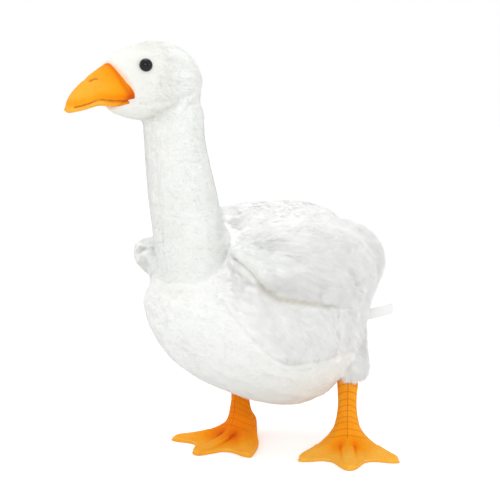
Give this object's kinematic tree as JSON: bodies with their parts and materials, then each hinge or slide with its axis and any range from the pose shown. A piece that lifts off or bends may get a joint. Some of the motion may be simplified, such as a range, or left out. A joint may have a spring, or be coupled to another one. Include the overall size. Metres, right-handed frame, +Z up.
{
  "type": "plush goose",
  "caption": "Standing stuffed plush goose with a long neck, folded stuffed wings, padded bill, glossy button eyes and webbed fabric feet.",
  "frame": {"origin": "middle of the object's footprint box, at the height of the soles", "axes": "+Z up, the goose faces -Y, its left side is +X"},
  "size_m": [0.2252, 0.4168, 0.4209],
  "materials": {
    "white_plush": "long soft pile",
    "white_velvet": "short pile",
    "orange_velvet": "short nap, airbrushed shading",
    "gloss_black": "polished",
    "white_nylon": "matte",
    "steel_wire": "drawn",
    "woven_label": "woven tape"
  },
  "bodies": {
    "root": {"torso": "white_plush", "tail": "white_plush", "left_wing": "white_plush", "right_wing": "white_plush", "left_thigh": "white_plush", "right_thigh": "white_plush", "head": "white_plush", "neck": "white_velvet", "upper_beak": "orange_velvet", "lower_beak": "orange_velvet", "left_leg": "orange_velvet", "right_leg": "orange_velvet", "left_eye": "gloss_black", "right_eye": "gloss_black", "left_eye_washer": "white_nylon", "right_eye_washer": "white_nylon", "left_leg_wire": "steel_wire", "right_leg_wire": "steel_wire", "neck_wire": "steel_wire", "sewn_label": "woven_label"}
  },
  "joints": []
}
